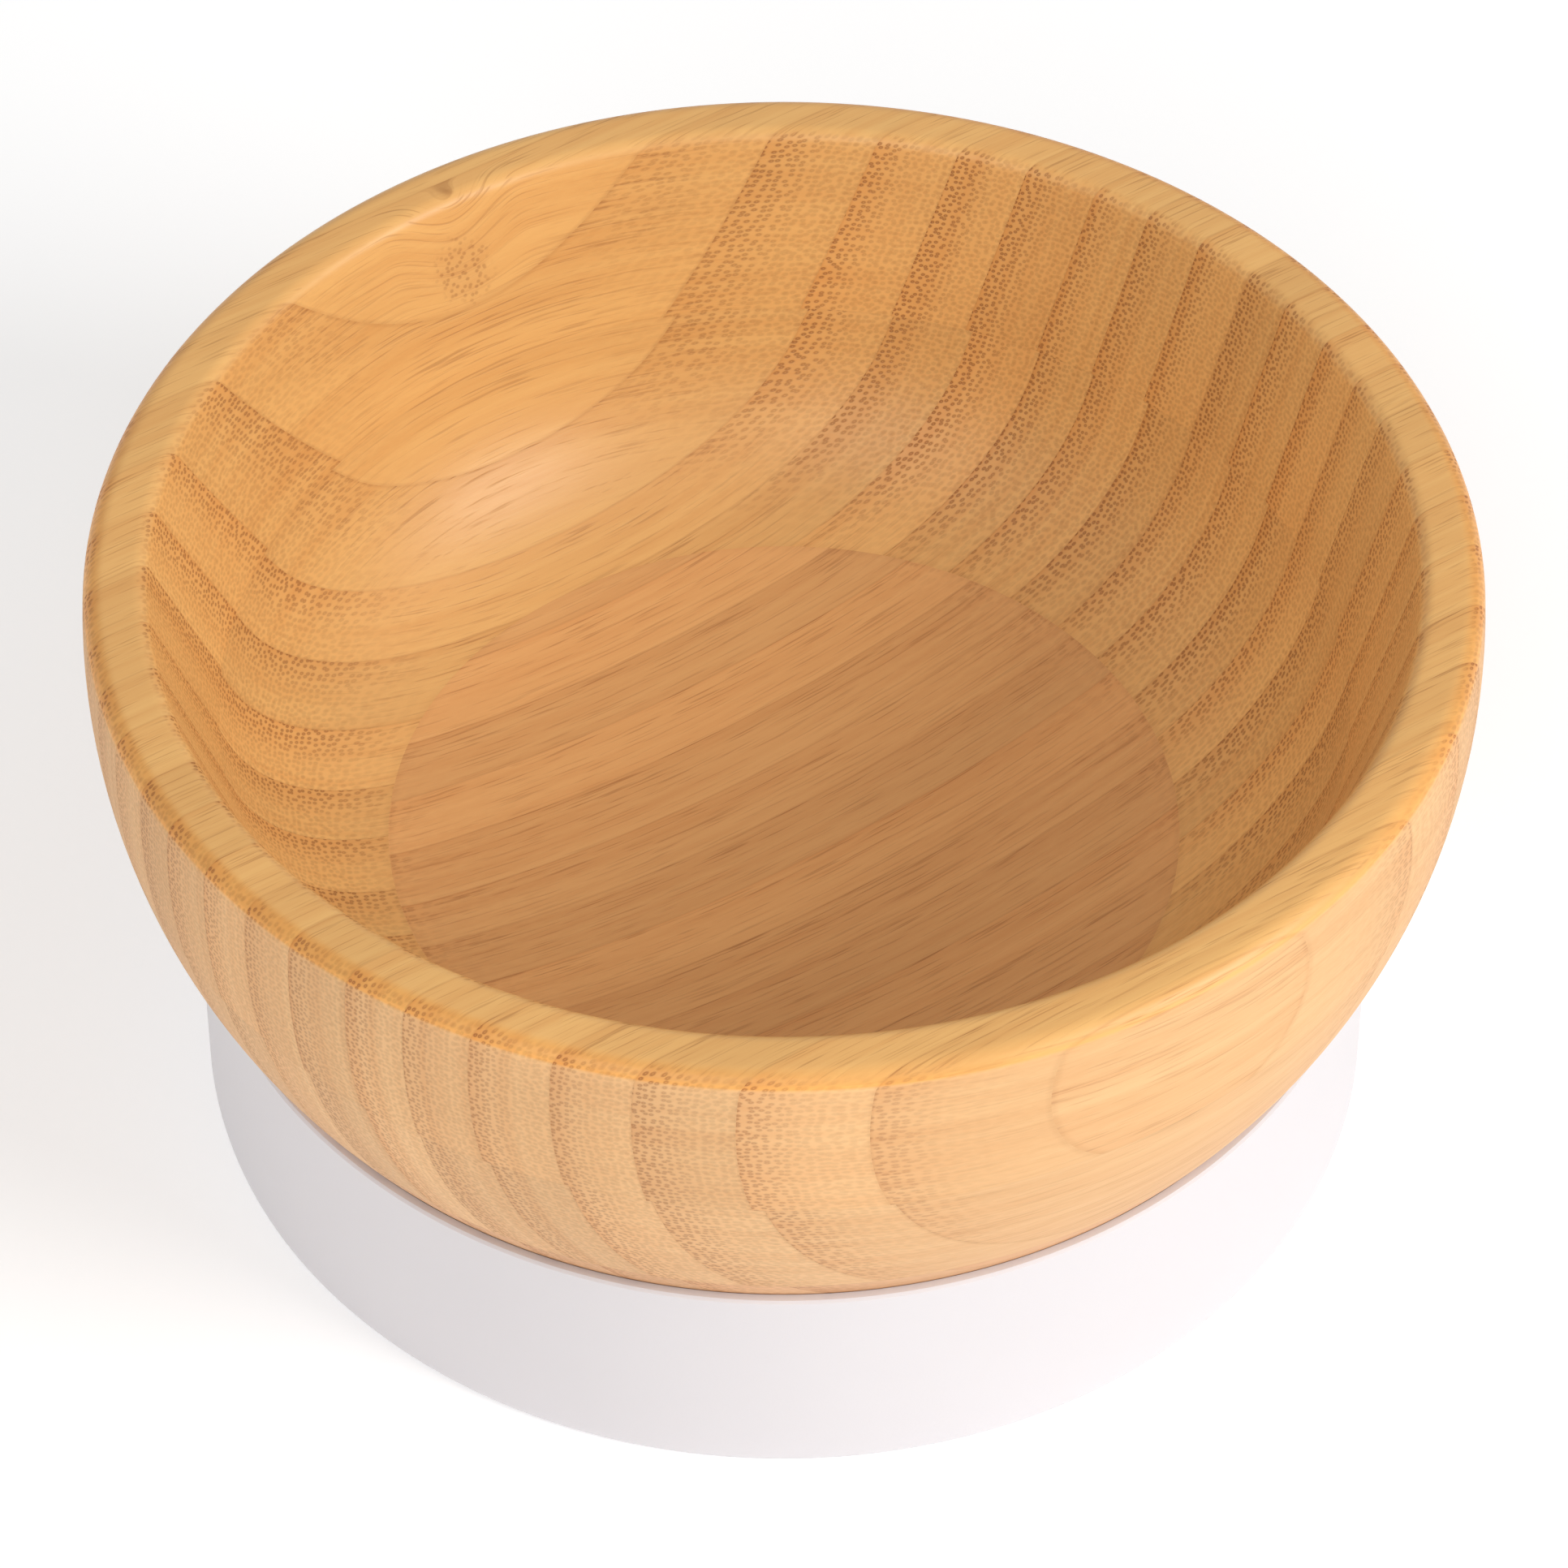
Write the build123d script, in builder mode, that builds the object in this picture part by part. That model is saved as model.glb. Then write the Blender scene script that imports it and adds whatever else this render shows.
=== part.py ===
from build123d import *
import os
from math import copysign, cos, radians, sin, sqrt

# Children's suction bowl: a bowl turned from laminated bamboo that sits in a one-piece
# silicone suction base.
#
# Frame: origin at the middle of the base's resting face, +Z up, all sizes in millimetres.
# The bowl was turned from three boards glued one on another.  Each board is made of strips
# that stand on edge and run along the grain, so every strip is a solid of its own.

os.makedirs("parts", exist_ok=True)

# ---------------------------------------------------------------- driving dimensions

bowl_radius = 65.0            # widest place of the outer wall
wall_radius = 60.84           # radius of the arc that the outer wall follows
wall_middle_z = 56.03         # height of the widest place
rim_z = 63.0                  # top of the rim
foot_z = 5.6                  # flat underside of the bowl, on the base's floor

rim_inner_radius = 59.0       # where the inner wall would meet the top of the rim
inner_taper = 0.326           # the inner wall closes by this much for each mm of depth
floor_z = 21.5                # lowest point of the eating surface
floor_radius = 138.0          # radius of the dished floor
floor_corner_radius = 25.3    # between the dished floor and the inner wall
rim_outer_round = 2.1
rim_inner_round = 1.6
foot_round = 1.0

glue_heights = [27.0, 45.0]   # glue lines between the three boards
grain_angle = 33.5            # direction of the grain, from +X towards +Y
strip_thickness = 5.96
strip_wander = 0.25           # how far a glue line between strips strays from even spacing
strip_shift = [-0.7, 1.45, 1.85]   # sideways shift of the strips, bottom board first
thinnest_strip = 2.0          # a thinner offcut at the side stays part of its neighbour

base_radius = 56.4
base_lip_z = 23.2             # top of the lip that hugs the bowl
seat_gap = 0.3                # between the silicone and the bowl's outer wall
lip_round = 0.25
heel_round = 0.8
land_width = 3.0              # flat ring that seals on the table
chamber_z = 3.2               # middle of the suction chamber's roof
chamber_roof_radius = -1700.0 # the roof is a very shallow dome
chamber_draft = 0.8           # the chamber's side leans in by this much
chamber_round = 1.2
seat_round = 0.6              # between the seat and the base's floor

# ---------------------------------------------------------------- worked out from them

wall_centre_r = bowl_radius - wall_radius
floor_centre_z = floor_z + floor_radius
land_inner_radius = base_radius - land_width
chamber_edge_r = land_inner_radius - chamber_draft


def outer_wall(z, gap=0.0):
    """A point (r, z) of the bowl's outer wall, or of a surface that far outside it."""
    return (wall_centre_r + sqrt((wall_radius + gap) ** 2 - (z - wall_middle_z) ** 2), z)


def dish(r, middle_z, radius):
    """A point (r, z) of a dish, or of a dome if its radius is negative."""
    rise = abs(radius) - sqrt(radius ** 2 - r ** 2)
    return (r, middle_z + copysign(rise, radius))


def inner_corner():
    """The point (r, z) where the tapered inner wall would meet the dished floor."""
    wall_r = rim_inner_radius - inner_taper * (rim_z - floor_centre_z)
    a = 1 + inner_taper ** 2
    b = 2 * wall_r * inner_taper
    c = wall_r ** 2 - floor_radius ** 2
    rise = (-b - sqrt(b ** 2 - 4 * a * c)) / (2 * a)
    return (wall_r + inner_taper * rise, floor_centre_z + rise)


def strip_joints(board):
    """Places, across the grain, of the glue lines between one board's strips."""
    board_top = [*glue_heights, rim_z][board]
    half_width = outer_wall(min(board_top, wall_middle_z))[0]
    count = int(half_width / strip_thickness) + 1
    joints = []
    for i in range(-count, count + 1):
        wander = strip_wander * sin(2.3 * i + board)
        place = strip_shift[board] + strip_thickness * i + wander
        if abs(place) < half_width - thinnest_strip:
            joints.append(place)
    return joints


# ---------------------------------------------------------------- the bowl, as it is turned

foot_edge = outer_wall(foot_z)
rim_edge = outer_wall(rim_z)
wall_middle = outer_wall((foot_z + rim_z) / 2)
rim_inner_edge = (rim_inner_radius, rim_z)
floor_edge = inner_corner()
floor_halfway = dish(floor_edge[0] / 2, floor_z, floor_radius)

with BuildPart() as turned_bowl:
    with BuildSketch(Plane.XZ):
        with BuildLine():
            Line((0, foot_z), foot_edge)
            ThreePointArc(foot_edge, wall_middle, rim_edge)
            Line(rim_edge, rim_inner_edge)
            Line(rim_inner_edge, floor_edge)
            ThreePointArc(floor_edge, floor_halfway, (0, floor_z))
            Line((0, floor_z), (0, foot_z))
        make_face()
        for corner, radius in (
            (rim_edge, rim_outer_round),
            (rim_inner_edge, rim_inner_round),
            (floor_edge, floor_corner_radius),
            (foot_edge, foot_round),
        ):
            fillet(vertices().sort_by_distance(corner)[0], radius)
    revolve(axis=Axis.Z)

# ---------------------------------------------------------------- the boards and their strips

across_grain = (-sin(radians(grain_angle)), cos(radians(grain_angle)), 0)
strip_plane = Plane(origin=(0, 0, 0), z_dir=across_grain)
board_names = ["bowl_bottom_board", "bowl_middle_board", "bowl_top_board"]

for board, name in enumerate(board_names):
    with BuildPart() as glued_board:
        add(turned_bowl.part)
        if board > 0:
            split(bisect_by=Plane.XY.offset(glue_heights[board - 1]), keep=Keep.TOP)
        if board < len(glue_heights):
            split(bisect_by=Plane.XY.offset(glue_heights[board]), keep=Keep.BOTTOM)
        for place in strip_joints(board):
            split(bisect_by=strip_plane.offset(place), keep=Keep.BOTH)
    glued_board.part.label = name
    export_step(glued_board.part, f"parts/{name}.step")

# ---------------------------------------------------------------- the suction base

lip_outside = (base_radius, base_lip_z)
lip_inside = outer_wall(base_lip_z, seat_gap)
seat_middle = outer_wall((base_lip_z + foot_z) / 2, seat_gap)
seat_bottom = outer_wall(foot_z, seat_gap)
heel = (base_radius, 0)
land_inside = (land_inner_radius, 0)
chamber_edge = dish(chamber_edge_r, chamber_z, chamber_roof_radius)
chamber_halfway = dish(chamber_edge_r / 2, chamber_z, chamber_roof_radius)

with BuildPart() as suction_base:
    with BuildSketch(Plane.XZ):
        with BuildLine():
            Line((0, foot_z), seat_bottom)
            ThreePointArc(seat_bottom, seat_middle, lip_inside)
            Line(lip_inside, lip_outside)
            Line(lip_outside, heel)
            Line(heel, land_inside)
            Line(land_inside, chamber_edge)
            ThreePointArc(chamber_edge, chamber_halfway, (0, chamber_z))
            Line((0, chamber_z), (0, foot_z))
        make_face()
        for corner, radius in (
            (lip_outside, lip_round),
            (heel, heel_round),
            (seat_bottom, seat_round),
            (chamber_edge, chamber_round),
        ):
            fillet(vertices().sort_by_distance(corner)[0], radius)
    revolve(axis=Axis.Z)

suction_base.part.label = "suction_base"
export_step(suction_base.part, "parts/suction_base.step")
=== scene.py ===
from math import cos, pi, radians, sin, sqrt, tau

import bpy
from mathutils import Matrix, Vector


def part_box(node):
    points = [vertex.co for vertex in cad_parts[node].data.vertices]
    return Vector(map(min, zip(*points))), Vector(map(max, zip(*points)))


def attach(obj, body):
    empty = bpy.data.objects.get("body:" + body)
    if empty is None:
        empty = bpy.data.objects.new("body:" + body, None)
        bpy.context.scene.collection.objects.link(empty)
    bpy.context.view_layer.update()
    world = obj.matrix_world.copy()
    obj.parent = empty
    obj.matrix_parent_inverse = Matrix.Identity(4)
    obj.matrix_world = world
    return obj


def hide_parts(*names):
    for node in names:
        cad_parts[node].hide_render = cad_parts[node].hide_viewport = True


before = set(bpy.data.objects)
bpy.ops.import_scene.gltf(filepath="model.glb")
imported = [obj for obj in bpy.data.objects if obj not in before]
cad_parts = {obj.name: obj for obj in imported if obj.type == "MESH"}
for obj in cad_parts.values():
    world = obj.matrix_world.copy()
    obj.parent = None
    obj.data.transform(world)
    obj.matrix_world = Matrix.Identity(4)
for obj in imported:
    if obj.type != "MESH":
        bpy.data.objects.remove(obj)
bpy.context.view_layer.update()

# A child's bowl of laminated bamboo, seated in a white silicone suction base.
# Outlines are worked out in millimetres, and scaled to metres when a mesh is made.

MM = 0.001

# ---------------------------------------------------------------- sizes from the frame


def cad_top(node):
    """Height of the top of a CAD node, in millimetres."""
    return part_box(node)[1].z / MM


def cad_bottom(node):
    """Height of the bottom of a CAD node, in millimetres."""
    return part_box(node)[0].z / MM


def cad_radius(node):
    """Greatest radius of a CAD node, in millimetres."""
    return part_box(node)[1].x / MM


BOARDS = ("bowl_bottom_board", "bowl_middle_board", "bowl_top_board")

bowl_radius = cad_radius("bowl_top_board")
rim_z = cad_top("bowl_top_board")
foot_z = cad_bottom("bowl_bottom_board")
glue_heights = [cad_top(name) for name in BOARDS[:-1]]
base_radius = cad_radius("suction_base")
base_lip_z = cad_top("suction_base")

# ---------------------------------------------------------------- shape of the bowl, in mm

wall_radius = 60.84
wall_middle_z = 56.03
wall_centre_r = bowl_radius - wall_radius
rim_inner_radius = 59.0
inner_taper = 0.326
floor_z = 21.5
floor_radius = 138.0
floor_centre_z = floor_z + floor_radius
floor_corner_radius = 25.3
rim_outer_round = 2.1
rim_inner_round = 1.6
foot_round = 1.0

# ---------------------------------------------------------------- shape of the base, in mm

seat_gap = 0.04
lip_round = 0.25
heel_round = 0.8
land_inner_radius = base_radius - 3.0
chamber_edge_r = land_inner_radius - 0.8
chamber_z = 3.2
chamber_roof_radius = 1700.0
chamber_round = 1.2
seat_round = 0.6

# ---------------------------------------------------------------- the bamboo, in mm

grain_angle = radians(33.5)
strip_thickness = 5.96
strip_wander = 0.25
strip_shift = (-0.7, 1.45, 1.85)

# ---------------------------------------------------------------- how fine the meshes are

segments = 240
outline_step = 0.8
round_step = 0.3


# ================================================================ outlines


class Straight:
    """A straight stretch of an outline."""

    def __init__(self, start, end):
        self.start, self.end = Vector(start), Vector(end)

    def foot(self, point):
        """The point of this stretch's line that is nearest to a point."""
        way = (self.end - self.start).normalized()
        return self.start + way * (point - self.start).dot(way)

    def points(self, start, end, step):
        """Points from start to end, with both ends."""
        count = max(1, round((end - start).length / step))
        return [start.lerp(end, i / count) for i in range(count + 1)]


class Arc:
    """A stretch of an outline that follows a circle."""

    def __init__(self, centre, radius):
        self.centre, self.radius = Vector(centre), radius

    def foot(self, point):
        """The point of this stretch's circle that is nearest to a point."""
        return self.centre + (point - self.centre).normalized() * self.radius

    def points(self, start, end, step):
        """Points from start to end the short way round, with both ends."""
        turn = (start - self.centre).angle_signed(end - self.centre)
        count = max(1, round(abs(turn) * self.radius / step))
        spoke = start - self.centre
        found = []
        for i in range(count + 1):
            angle = -turn * i / count
            found.append(self.centre + Matrix.Rotation(angle, 2) @ spoke)
        return found


def rounding(before, after, corner, radius, towards):
    """Centre and ends of the arc that rounds a corner; its centre lies on the side of towards."""
    centre = Vector(corner) + Vector(towards) * radius
    for _ in range(30):
        feet = (before.foot(centre), after.foot(centre))
        gaps = Vector([(centre - foot).length - radius for foot in feet])
        slopes = Matrix([(centre - foot).normalized() for foot in feet])
        centre = centre - slopes.inverted() @ gaps
    return centre, before.foot(centre), after.foot(centre)


def outline(corners, stretches, rounds):
    """A closed outline of (r, z) points: stretches joined at corners, some of them rounded.

    rounds gives, for a corner's number, its radius and the side its centre lies on.
    """
    starts = [Vector(corner) for corner in corners]
    ends = [Vector(corner) for corner in corners[1:] + corners[:1]]
    arcs = {}
    for number, (radius, towards) in rounds.items():
        before, after = stretches[number - 1], stretches[number]
        centre, arc_start, arc_end = rounding(before, after, corners[number], radius, towards)
        arcs[number] = Arc(centre, radius)
        ends[number - 1] = arc_start
        starts[number] = arc_end
    found = []
    for number, stretch in enumerate(stretches):
        if number in arcs:
            found += arcs[number].points(ends[number - 1], starts[number], round_step)[:-1]
        found += stretch.points(starts[number], ends[number], outline_step)
        found.pop()
    return found


def clip(loop, level, side):
    """The part of a closed outline above a height if side is 1, or below it if side is -1."""
    kept = []
    for point, following in zip(loop, loop[1:] + loop[:1]):
        here, there = side * (point.y - level), side * (following.y - level)
        if here >= 0:
            kept.append(point)
        if here * there < 0:
            kept.append(point.lerp(following, here / (here - there)))
    return kept


def wall_point(z, gap=0.0):
    """A point (r, z) of the bowl's outer wall, or of a surface that far outside it."""
    return (wall_centre_r + sqrt((wall_radius + gap) ** 2 - (z - wall_middle_z) ** 2), z)


def bowl_outline():
    """Half of the bowl's cross-section, before it is divided into boards."""
    wall_r = rim_inner_radius - inner_taper * (rim_z - floor_centre_z)
    a = 1 + inner_taper ** 2
    b = 2 * wall_r * inner_taper
    c = wall_r ** 2 - floor_radius ** 2
    rise = (-b - sqrt(b ** 2 - 4 * a * c)) / (2 * a)
    floor_edge = (wall_r + inner_taper * rise, floor_centre_z + rise)
    foot_edge, rim_edge = wall_point(foot_z), wall_point(rim_z)
    rim_inner_edge = (rim_inner_radius, rim_z)
    foot_middle, floor_middle = (0, foot_z), (0, floor_z)
    corners = [foot_middle, foot_edge, rim_edge, rim_inner_edge, floor_edge, floor_middle]
    stretches = [
        Straight(foot_middle, foot_edge),
        Arc((wall_centre_r, wall_middle_z), wall_radius),
        Straight(rim_edge, rim_inner_edge),
        Straight(rim_inner_edge, floor_edge),
        Arc((0, floor_centre_z), floor_radius),
        Straight(floor_middle, foot_middle),
    ]
    rounds = {
        1: (foot_round, (-1, 1)),
        2: (rim_outer_round, (-1, -1)),
        3: (rim_inner_round, (1, -1)),
        4: (floor_corner_radius, (-1, 1)),
    }
    return outline(corners, stretches, rounds)


def base_outline():
    """Half of the suction base's cross-section."""
    roof_drop = chamber_roof_radius - sqrt(chamber_roof_radius ** 2 - chamber_edge_r ** 2)
    corners = [
        (0, foot_z),
        wall_point(foot_z, seat_gap),
        wall_point(base_lip_z, seat_gap),
        (base_radius, base_lip_z),
        (base_radius, 0),
        (land_inner_radius, 0),
        (chamber_edge_r, chamber_z - roof_drop),
        (0, chamber_z),
    ]
    stretches = [Straight(a, b) for a, b in zip(corners, corners[1:] + corners[:1])]
    stretches[1] = Arc((wall_centre_r, wall_middle_z), wall_radius + seat_gap)
    stretches[6] = Arc((0, chamber_z - chamber_roof_radius), chamber_roof_radius)
    rounds = {
        1: (seat_round, (-1, 1)),
        3: (lip_round, (-1, -1)),
        4: (heel_round, (-1, 1)),
        6: (chamber_round, (-1, -1)),
    }
    return outline(corners, stretches, rounds)


# ================================================================ meshes


def revolve(name, loop):
    """A closed mesh made by turning a closed outline about the Z axis."""
    points, rings = [], []
    for r, z in loop:
        count = 1 if r < 1e-6 else segments
        rings.append(range(len(points), len(points) + count))
        for i in range(count):
            angle = tau * i / segments
            points.append((r * cos(angle) * MM, r * sin(angle) * MM, z * MM))
    faces = []
    for ring, following in zip(rings, rings[1:] + rings[:1]):
        for i in range(segments):
            j = (i + 1) % segments
            if len(ring) > 1 and len(following) > 1:
                faces.append((ring[i], ring[j], following[j], following[i]))
            elif len(ring) > 1:
                faces.append((ring[i], ring[j], following[0]))
            elif len(following) > 1:
                faces.append((ring[0], following[j], following[i]))
    mesh = bpy.data.meshes.new(name)
    mesh.from_pydata(points, [], faces)
    mesh.shade_smooth()
    mesh.set_sharp_from_angle(angle=radians(35))
    mesh.validate()
    piece = bpy.data.objects.new(name, mesh)
    bpy.context.scene.collection.objects.link(piece)
    return piece


# ================================================================ materials


class Wire:
    """An output socket that can be used in sums, so that a formula reads as one."""

    def __init__(self, graph, socket):
        self.graph, self.socket = graph, socket

    def __add__(self, other):
        return self.graph.math("ADD", self, other)

    def __radd__(self, other):
        return self.graph.math("ADD", other, self)

    def __sub__(self, other):
        return self.graph.math("SUBTRACT", self, other)

    def __rsub__(self, other):
        return self.graph.math("SUBTRACT", other, self)

    def __mul__(self, other):
        return self.graph.math("MULTIPLY", self, other)

    def __rmul__(self, other):
        return self.graph.math("MULTIPLY", other, self)

    def __truediv__(self, other):
        return self.graph.math("DIVIDE", self, other)

    def __abs__(self):
        return self.graph.math("ABSOLUTE", self)

    def __gt__(self, other):
        return self.graph.math("GREATER_THAN", self, other)


class Graph:
    """The nodes of one material, with short names for those that the materials here use."""

    def __init__(self, name):
        self.material = bpy.data.materials.new(name)
        self.material.use_nodes = True
        self.tree = self.material.node_tree
        self.shader = self.tree.nodes["Principled BSDF"]

    def node(self, kind, inputs, **settings):
        """Add a node, with its settings and its inputs by name or number."""
        made = self.tree.nodes.new(kind)
        for key, value in settings.items():
            setattr(made, key, value)
        for key, value in inputs.items():
            self.plug(value, made.inputs[key])
        return made

    def plug(self, value, socket):
        """Link a wire to a socket, or set the socket to a plain value."""
        if isinstance(value, Wire):
            self.tree.links.new(value.socket, socket)
        else:
            socket.default_value = value

    def math(self, operation, *values):
        """One step of a formula, on wires and plain numbers."""
        made = self.node("ShaderNodeMath", dict(enumerate(values)), operation=operation)
        return Wire(self, made.outputs[0])

    def sine(self, value):
        return self.math("SINE", value)

    def clamp(self, value):
        """A number kept from 0 to 1."""
        made = self.node("ShaderNodeClamp", {0: value})
        return Wire(self, made.outputs[0])

    def smooth(self, value, low, high):
        """0 below low, 1 above high and a smooth step between; low may be the larger."""
        made = self.node(
            "ShaderNodeMapRange",
            {"Value": value, "From Min": low, "From Max": high},
            interpolation_type="SMOOTHSTEP",
        )
        return Wire(self, made.outputs["Result"])

    def vector(self, x, y, z):
        """Three numbers as one vector."""
        made = self.node("ShaderNodeCombineXYZ", {0: x, 1: y, 2: z})
        return Wire(self, made.outputs[0])

    def split(self, vector):
        """A vector as three numbers."""
        made = self.node("ShaderNodeSeparateXYZ", {0: vector})
        return [Wire(self, out) for out in made.outputs]

    def place(self):
        """The x, y and z of a point of the object, in millimetres."""
        coordinates = self.node("ShaderNodeTexCoord", {})
        scaled = self.node("ShaderNodeVectorMath", {"Scale": 1 / MM}, operation="SCALE")
        self.tree.links.new(coordinates.outputs["Object"], scaled.inputs[0])
        return self.split(Wire(self, scaled.outputs[0]))

    def facing(self):
        """The x, y and z of the direction that the surface faces, in the object's own axes."""
        coordinates = self.node("ShaderNodeTexCoord", {})
        return self.split(Wire(self, coordinates.outputs["Normal"]))

    def noise(self, vector, scale, detail=2.0, roughness=0.5):
        """Smooth noise about 0.5."""
        made = self.node(
            "ShaderNodeTexNoise",
            {"Vector": vector, "Scale": scale, "Detail": detail, "Roughness": roughness},
        )
        return Wire(self, made.outputs[0])

    def chance(self, x, y, z=0.0):
        """Three even random numbers from 0 to 1 that depend only on x, y and z."""
        made = self.node("ShaderNodeTexWhiteNoise", {"Vector": self.vector(x, y, z)})
        return self.split(Wire(self, made.outputs["Color"]))

    def cells(self, vector, scale, randomness=0.62):
        """Distance to the nearest of many scattered points, in cell widths."""
        made = self.node(
            "ShaderNodeTexVoronoi",
            {"Vector": vector, "Scale": scale, "Randomness": randomness},
            voronoi_dimensions="2D",
        )
        return Wire(self, made.outputs["Distance"])

    def mix(self, share, colour, other):
        """A colour that goes from colour to other as share goes from 0 to 1."""
        made = self.node("ShaderNodeMix", {0: share, 6: colour, 7: other}, data_type="RGBA")
        return Wire(self, made.outputs[2])

    def blend(self, share, value, other):
        """A number that goes from value to other as share goes from 0 to 1."""
        made = self.node("ShaderNodeMix", {0: share, 2: value, 3: other})
        return Wire(self, made.outputs[0])

    def tint(self, colour, tint):
        """A colour multiplied by another."""
        made = self.node(
            "ShaderNodeMix",
            {0: 1.0, 6: colour, 7: tint},
            data_type="RGBA",
            blend_type="MULTIPLY",
        )
        return Wire(self, made.outputs[2])

    def scale_colour(self, colour, factor):
        """A colour made lighter or darker by a factor."""
        made = self.node("ShaderNodeVectorMath", {0: colour, "Scale": factor}, operation="SCALE")
        return Wire(self, made.outputs[0])

    def bump(self, height, distance, strength):
        """Fine relief: a height of 1 stands this distance, in metres, off the surface."""
        made = self.node(
            "ShaderNodeBump", {"Height": height, "Distance": distance, "Strength": strength}
        )
        return Wire(self, made.outputs[0])

    def finish(self, **inputs):
        """Set the shader's inputs, given with underscores for spaces, and give the material."""
        for key, value in inputs.items():
            self.plug(value, self.shader.inputs[key.replace("_", " ")])
        return self.material


def srgb(red, green, blue):
    """A colour given as it looks on screen, from 0 to 255, as the linear colour a node wants."""

    def linear(level):
        level = level / 255
        return level / 12.92 if level <= 0.04045 else ((level + 0.055) / 1.055) ** 2.4

    return (linear(red), linear(green), linear(blue), 1.0)


# Bamboo: colours of a strip's pale and dense sides and of its fibres.
pale_bamboo = srgb(246, 203, 146)
dense_bamboo = srgb(222, 163, 104)
fibre_brown = srgb(150, 92, 48)

# What the wood's colour is multiplied by: where it is oiled, where it is sanded bare,
# on the end grain of the rim, which drinks more oil, and over each whole board. The bottom
# board's darker tint, over the bowl's floor, is partly its own colour and partly painted shade.
oil_tint = srgb(240, 227, 196)
bare_tint = srgb(234, 227, 224)
rim_tint = srgb(252, 238, 214)
no_tint = srgb(255, 255, 255)
board_tints_and_floor_shade = (srgb(249, 242, 248), no_tint, srgb(255, 253, 250))

# Sizes of the marks in the bamboo, in mm.
fibre_spacing = 0.50            # dots that crowd at a strip's dense side
pore_spacing = 0.74             # fainter dots at its pale side
speck_spacing = 0.72            # dots in the patch below the knot
glue_line = (0.17, 0.03)        # half widths of a line between strips, faint and full
seam_line = (0.28, 0.05)        # the same for a line between boards
oil_depth = 0.16                # how far under the outer wall the oiled wood begins

# A knot of the cane, where one strip of the top board reaches the rim.
knot_board = 2
knot_along = 0.0
knot_across = 57.0
pit_across = 60.6


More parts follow.
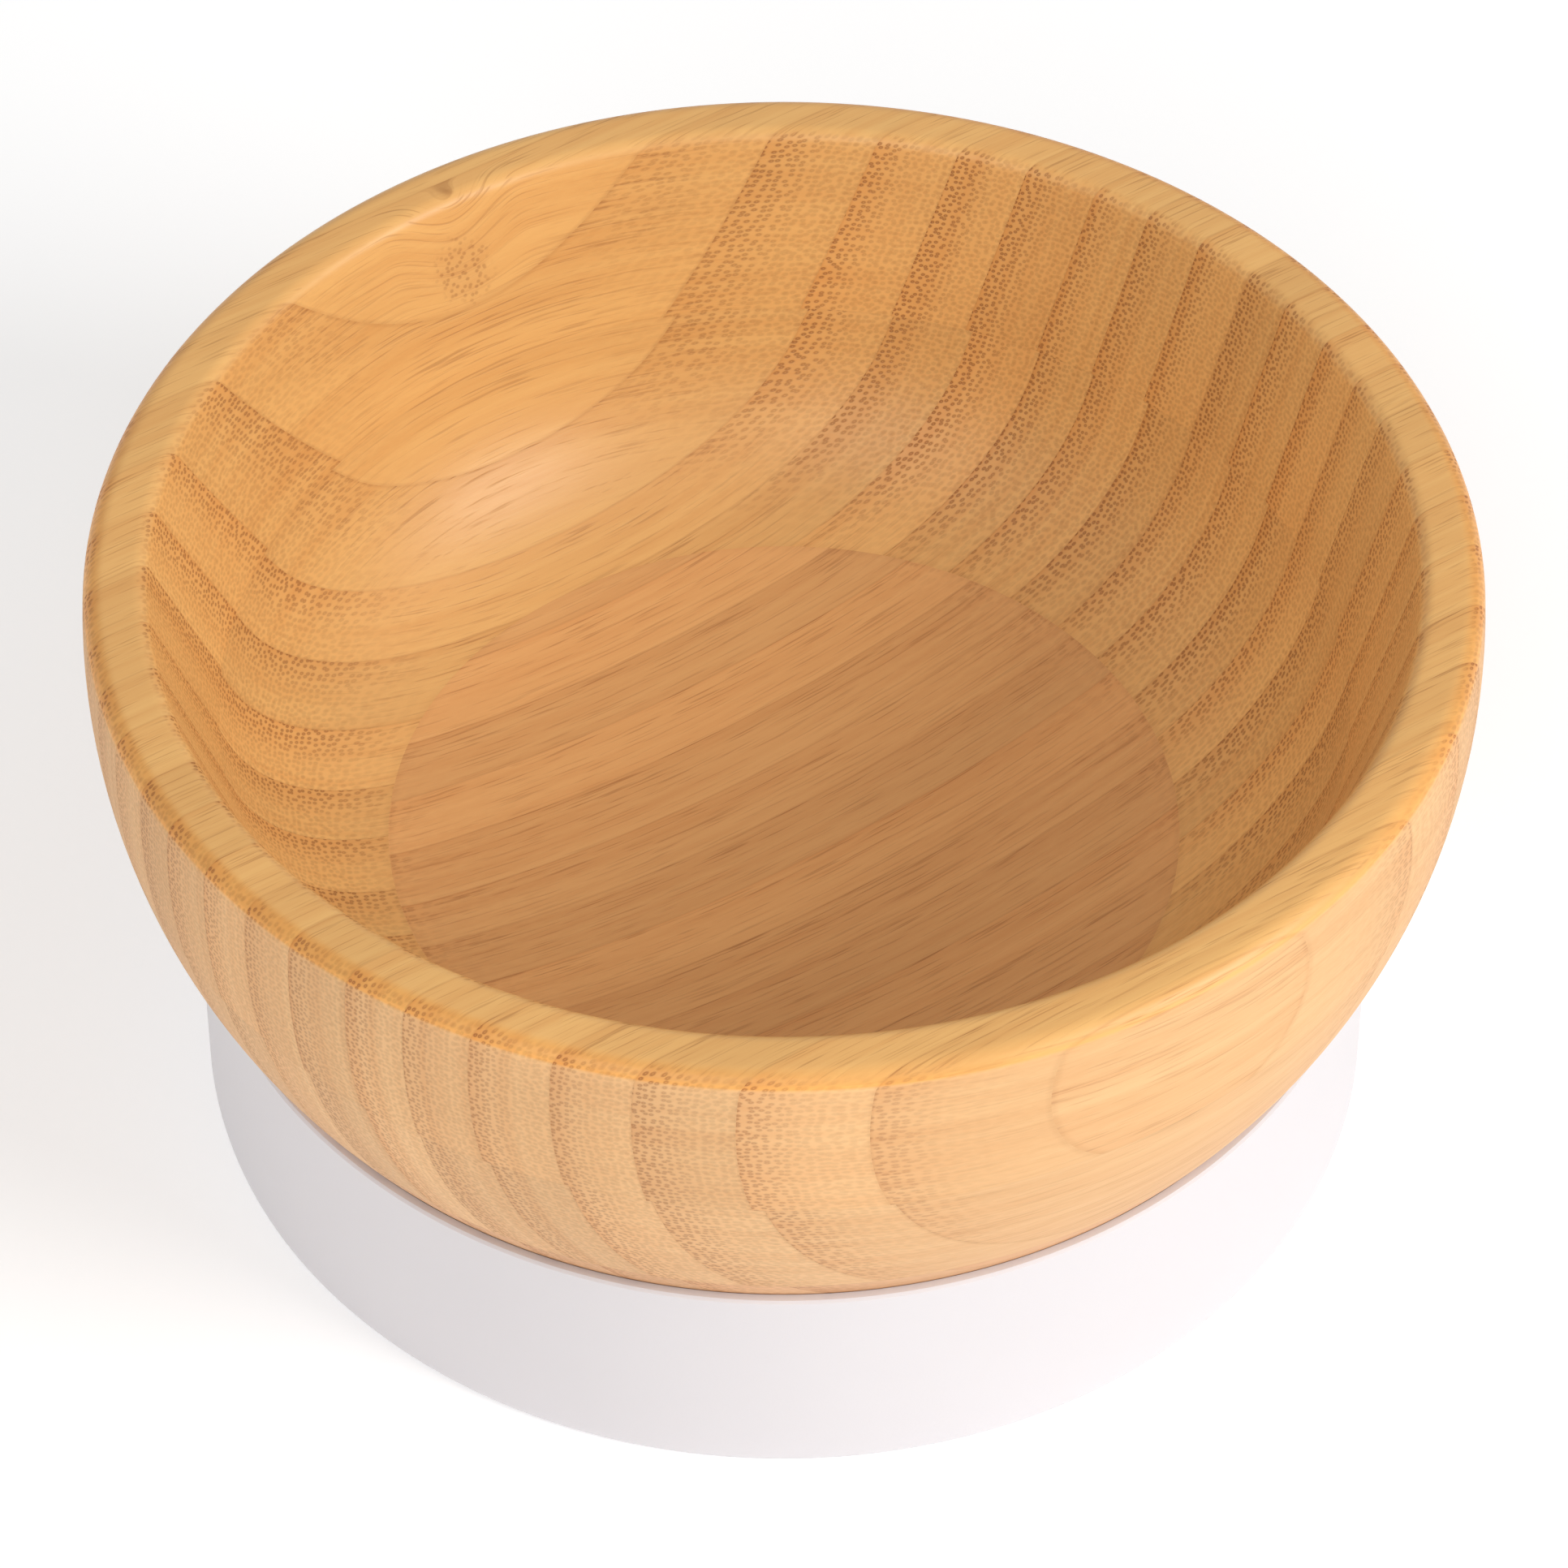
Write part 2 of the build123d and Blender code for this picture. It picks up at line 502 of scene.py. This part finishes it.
class Bamboo:
    """Laminated bamboo cut through at any angle: one board's strips as a solid texture.

    A strip is dense and dark-dotted at its side of higher across, the outside of the cane.
    Its fibres show as dots on end grain and as fine streaks along the grain.
    """

    def __init__(self, board):
        self.board = board
        self.g = Graph(f"bamboo_{board}")
        self.find_grain()
        self.find_strip()
        self.find_finish()
        self.find_dots()
        self.find_knot()
        self.find_streaks()

    def find_grain(self):
        """Place and facing along the grain and across it."""
        g = self.g
        x, y, self.z = g.place()
        nx, ny, _ = g.facing()
        cos_grain, sin_grain = cos(grain_angle), sin(grain_angle)
        self.along = x * cos_grain + y * sin_grain
        self.across = y * cos_grain - x * sin_grain
        self.radius = g.math("SQRT", x * x + y * y)
        self.facing_along = abs(nx * cos_grain + ny * sin_grain)
        self.facing_across = abs(ny * cos_grain - nx * sin_grain)
        self.end = g.smooth(self.facing_along, 0.12, 0.62)      # 1 on end grain, 0 on long grain

    def joint(self, number):
        """Where the glue line between two strips lies, across the grain."""
        wander = self.g.sine(number * 2.3 + self.board) * strip_wander
        return number * strip_thickness + wander + strip_shift[self.board]

    def find_strip(self):
        """The strip's number, the share of the way through it, and its random numbers."""
        g, across = self.g, self.across
        nearest = g.math("ROUND", (across - strip_shift[self.board]) / strip_thickness)
        self.number = nearest - 1 + (across > self.joint(nearest))
        low, high = self.joint(self.number), self.joint(self.number + 1)
        self.share = (high - across) / (high - low)     # 0 at the dense side, 1 at the pale side
        self.tone, self.hue, self.offset = g.chance(self.number, self.board + 0.5)
        self.glue = g.smooth(g.math("MINIMUM", across - low, high - across), *glue_line)

    def find_finish(self):
        """The outer wall is sanded bare, and the oiled wood ends by the rim. A thin pale line
        painted along that edge, on the rim's outer round, is a painted highlight.
        """
        g = self.g
        spoke = self.radius - wall_centre_r
        rise = self.z - wall_middle_z
        depth = wall_radius - g.math("SQRT", spoke * spoke + rise * rise)
        self.bare = g.smooth(depth, oil_depth, 0.05)
        # painted highlight: a thin pale line where the oiled wood meets the bare outer wall, on
        # the rim's outer round
        self.painted_highlight_line = g.smooth(abs(depth - oil_depth), 0.16, 0.02)
        outer_rim = g.smooth(spoke, 57.4, 58.6)
        self.soaked = g.smooth(self.facing_along, 0.03, 0.45) * outer_rim * (1.0 - self.bare)

    def find_dots(self):
        """Bundles of fibres cut across: small rings, crowded towards the dense side."""
        g, along, across, z = self.g, self.along, self.across, self.z
        sway = g.noise(g.vector(along / 34, self.number * 3.7, z / 40), 1.0, 1.0) - 0.5
        lift = g.noise(g.vector(along / 27, self.number * 5.1, across / 40 + 9), 1.0, 1.0) - 0.5
        u, v = across + sway, z + lift + self.offset * 60
        fine = g.cells(g.vector(u, v, 0.0), 1 / fibre_spacing)
        coarse = g.cells(g.vector(u + 31, v + 17, 0.0), 1 / pore_spacing)
        rings = g.smooth(fine, 0.40, 0.20) - g.smooth(fine, 0.14, 0.04) * 0.5
        crowding = g.smooth(self.share + (self.hue - 0.5) * 0.2, 0.7, 0.0) * 0.85 + 0.15
        pores = g.smooth(coarse, 0.36, 0.12) * g.smooth(self.share, 0.2, 0.75) * 0.34
        self.dots = g.math("MAXIMUM", rings * crowding, pores)
        self.net = (g.smooth(fine, 0.26, 0.56) - 0.5) * self.end
        self.silk = g.noise(g.vector(u * 3.1, v * 3.1, along / 14), 1.0, 3.0, 0.62) - 0.5

    def find_knot(self):
        """Grain that bows round a dark pit on the rim, over a patch of cut-off fibres."""
        g, z = self.g, self.z
        on_board = 1.0 if self.board == knot_board else 0.0
        along_gap = self.along - knot_along
        near = g.smooth(abs(self.across - knot_across), 5.5, 1.5) * on_board
        self.bow = g.smooth(abs(along_gap), 8.0, 0.0) * near * g.smooth(z, 49.0, 58.0) * 2.8

        pit = g.smooth(abs(along_gap + (self.across - pit_across - 0.2) * 0.6), 0.7, 0.1)
        pit = pit * g.smooth(abs(self.across - pit_across), 1.4, 0.5)
        self.pit = pit * near * g.smooth(z, 60.0, 61.5)

        patch_along, patch_up = along_gap / 3.7, (z - 55.4) / 4.2
        reach = g.math("SQRT", patch_along * patch_along + patch_up * patch_up)
        ragged = reach + g.noise(g.vector(self.along, z, 0.0), 0.6) * 0.7
        specks = g.cells(g.vector(self.along, z * 1.15, 0.0), 1 / speck_spacing, 0.95)
        speckled = g.smooth(specks, 0.40, 0.16) * 0.82 + 0.18
        self.patch = g.smooth(ragged, 1.35, 0.85) * near * speckled

    def drawn_out(self, side, width, length):
        """Noise drawn out along the grain, which varies over one other direction."""
        place = self.g.vector((side + self.bow) / width, self.along / length, self.number * 1.7)
        return self.g.noise(place, 1.0, 2.0)

    def find_streaks(self):
        """Hair-thin fibres and broad soft bands, over z on an upright face, else over across."""
        g, across, z = self.g, self.across, self.z
        upright = g.smooth(self.facing_across, 0.5, 0.8)
        hairs = g.blend(upright, self.drawn_out(across, 0.20, 7), self.drawn_out(z, 0.24, 8))
        self.hair = g.smooth(hairs, 0.53, 0.70) * (1.0 - self.share * 0.55)
        bands = g.blend(upright, self.drawn_out(across, 1.1, 34), self.drawn_out(z, 1.6, 40))
        self.bands = bands - 0.5

    def density(self):
        """How dense the wood is, from 0 for pale to 1 for dense."""
        g, end = self.g, self.end
        contrast = g.blend(self.bare, g.blend(end, 0.20, 0.46), g.blend(end, 0.13, 0.38))
        dense_side = g.math("POWER", g.clamp(1.0 - self.share), 2.2)
        texture = self.bands * 0.9 + self.silk * 0.4
        return g.clamp(dense_side * contrast + texture + end * 0.06 + 0.14)

    def marks(self):
        """How much fibre brown shows, from fibres, glue lines, seams and the knot."""
        g = self.g
        fibres = g.blend(self.end, self.hair * 0.42, self.dots * 0.66)
        seams = 0.0
        for level in glue_heights:
            seams = seams + g.smooth(abs(self.z - level), *seam_line)
        lines = seams * 0.05 + self.glue * g.blend(self.bare, 0.13, 0.10)
        return fibres * g.blend(self.bare, 1.0, 0.62) + lines + self.pit * 0.28 + self.patch * 0.42

    def shade(self):
        """How light the wood is: it differs between strips and in clouds, with a painted highlight
        along the rim's outer round and painted light near the top of the rim.
        """
        g = self.g
        place = g.vector(self.across / 11, self.z / 11, self.along / 45)
        cloud = g.noise(place, 1.0, 2.0) - 0.5
        speckle = self.net * 0.09 + self.silk * self.end * 0.16
        # painted light: the wood near the rim's top is made a little lighter, and the pale line on
        # the rim's outer round is a painted highlight
        painted_rim_light = g.smooth(self.z, 59.5, 62.5) * 0.04
        edges = self.painted_highlight_line * 0.10 + painted_rim_light
        return (self.tone - 0.5) * 0.11 + cloud * 0.14 + speckle + edges + 1.0

    def material(self):
        """The finished material of this board."""
        g = self.g
        marks = self.marks()
        wood = g.mix(self.density(), pale_bamboo, dense_bamboo)
        wood = g.mix(g.clamp(marks), wood, fibre_brown)
        wood = g.tint(wood, g.mix(self.bare, oil_tint, bare_tint))
        # partly painted shade: the bottom board is darkened where the bowl's floor lies in shadow
        wood = g.tint(wood, board_tints_and_floor_shade[self.board])
        wood = g.tint(wood, g.mix(self.soaked, no_tint, rim_tint))
        relief = self.silk * 0.5 - g.blend(self.end, self.hair * 0.5, self.dots)
        return g.finish(
            Base_Color=g.scale_colour(wood, self.shade()),
            Roughness=g.blend(self.bare, 0.40, 0.56) + marks * 0.3 + self.silk * 0.1,
            Normal=g.bump(relief, 0.00004, 0.5),
            Specular_IOR_Level=0.42,
        )


def silicone():
    """Matte white silicone: soft light in it, a faint moulded texture on it."""
    g = Graph("white_silicone")
    x, y, z = g.place()
    place = g.vector(x, y, z)
    haze = g.noise(place, 0.05, 2.0)
    grain = g.noise(place, 2.6, 3.0, 0.6)
    colour = g.mix(haze, srgb(217, 213, 215), srgb(221, 217, 219))
    rough = 0.52 + (grain - 0.5) * 0.12
    g.shader.subsurface_method = "RANDOM_WALK"
    return g.finish(
        Base_Color=colour,
        Roughness=rough,
        Normal=g.bump(grain, 0.00003, 0.35),
        Subsurface_Weight=0.25,
        Subsurface_Radius=(1.0, 0.95, 0.9),
        Subsurface_Scale=0.003,
        IOR=1.41,
        Sheen_Weight=0.08,
        Sheen_Roughness=0.5,
    )


def studio_floor():
    """A white floor that glows a little, so that it stays white in the shade."""
    g = Graph("studio_floor")
    x, y, z = g.place()
    cloud = g.noise(g.vector(x, y, z), 0.004, 1.0)
    colour = g.mix(cloud, srgb(248, 248, 248), srgb(250, 250, 250))
    return g.finish(
        Base_Color=colour,
        Roughness=0.7,
        Specular_IOR_Level=0.2,
        Emission_Color=(1, 1, 1, 1),
        Emission_Strength=0.22,
    )


# ================================================================ pieces


def add_bowl():
    """The bowl's three boards, each cut from the bowl's outline at its glue lines."""
    whole = bowl_outline()
    for board, node in enumerate(BOARDS):
        loop = whole
        if board > 0:
            loop = clip(loop, glue_heights[board - 1], 1)
        if board < len(glue_heights):
            loop = clip(loop, glue_heights[board], -1)
        piece = revolve(f"{node}_turned", loop)
        piece.data.materials.append(Bamboo(board).material())
        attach(piece, "bowl")
        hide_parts(node)


def add_base():
    """The silicone base, one moulding."""
    piece = revolve("suction_base_moulded", base_outline())
    piece.data.materials.append(silicone())
    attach(piece, "base")
    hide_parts("suction_base")


def add_floor():
    """A square floor, four metres a side."""
    reach = 2.0
    mesh = bpy.data.meshes.new("floor")
    points = [(-reach, -reach, 0), (reach, -reach, 0), (reach, reach, 0), (-reach, reach, 0)]
    mesh.from_pydata(points, [], [(0, 1, 2, 3)])
    floor = bpy.data.objects.new("floor", mesh)
    bpy.context.scene.collection.objects.link(floor)
    mesh.materials.append(studio_floor())


# ================================================================ light and camera


def aim(thing, place, target):
    """Put a camera or a light at a place and point it at a target."""
    thing.location = place
    thing.rotation_euler = (Vector(target) - Vector(place)).to_track_quat("-Z", "Y").to_euler()
    bpy.context.scene.collection.objects.link(thing)


def add_light(name, place, size, power, target=(0, 0, 0.03)):
    """A round soft light: its place and diameter in metres and its power in watts."""
    lamp = bpy.data.lights.new(name, "AREA")
    lamp.shape = "DISK"
    lamp.size = size
    lamp.energy = power
    aim(bpy.data.objects.new(name, lamp), place, target)


def add_lights():
    """A key light from the right, a broad fill from the front left, and a white world."""
    world = bpy.data.worlds.new("studio")
    world.use_nodes = True
    background = world.node_tree.nodes["Background"]
    background.inputs["Color"].default_value = (1, 1, 1, 1)
    background.inputs["Strength"].default_value = 0.53
    bpy.context.scene.world = world
    bpy.context.scene.view_settings.view_transform = "Standard"
    add_light("key", (1.05, -0.55, 0.70), size=0.6, power=9.6)
    add_light("fill", (-0.35, -1.1, 0.95), size=1.0, power=5.4)


def add_camera():
    """A long lens that looks down at the bowl from the front."""
    elevation = radians(46.35)
    target = Vector((0, 0, bowl_radius / 2)) * MM
    distance = 10.985 * bowl_radius * MM
    camera = bpy.data.cameras.new("camera")
    camera.lens = 172.0
    camera.sensor_width = 36.0
    camera.clip_start = 0.01
    thing = bpy.data.objects.new("camera", camera)
    aim(thing, target + distance * Vector((0, -cos(elevation), sin(elevation))), target)
    bpy.context.scene.camera = thing


add_bowl()
add_base()
add_floor()
add_lights()
add_camera()
